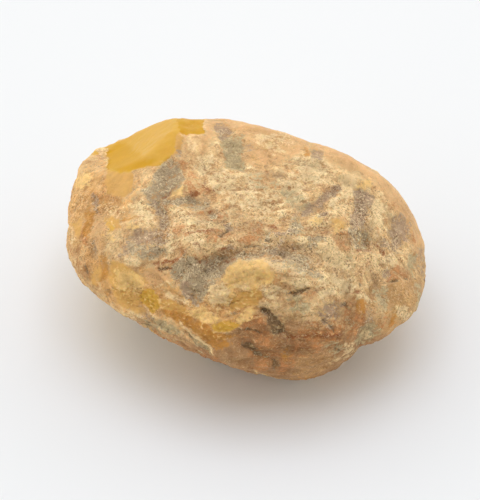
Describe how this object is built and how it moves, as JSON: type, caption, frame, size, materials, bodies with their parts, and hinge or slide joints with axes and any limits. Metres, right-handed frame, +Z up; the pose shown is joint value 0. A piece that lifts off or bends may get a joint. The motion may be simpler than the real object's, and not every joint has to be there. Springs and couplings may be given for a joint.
{
  "type": "raw amber piece",
  "caption": "Rough pebble-shaped lump of raw butterscotch amber with a weathered crust, a lumpy flaked front and a smooth chip, lying on a worn flat base.",
  "frame": {"origin": "under the middle of the stone's bounding box, on the surface that it lies on", "axes": "+X along the stone's longest extent, +Y to its back, +Z up, along its shortest extent"},
  "size_m": [0.0616, 0.052, 0.031],
  "materials": {
    "amber": "weathered grainy crust, cream, peach and grey, over cloudy honey-yellow amber that is smooth and waxy where it is chipped"
  },
  "bodies": {
    "root": {"raw_amber": "amber"}
  },
  "joints": []
}
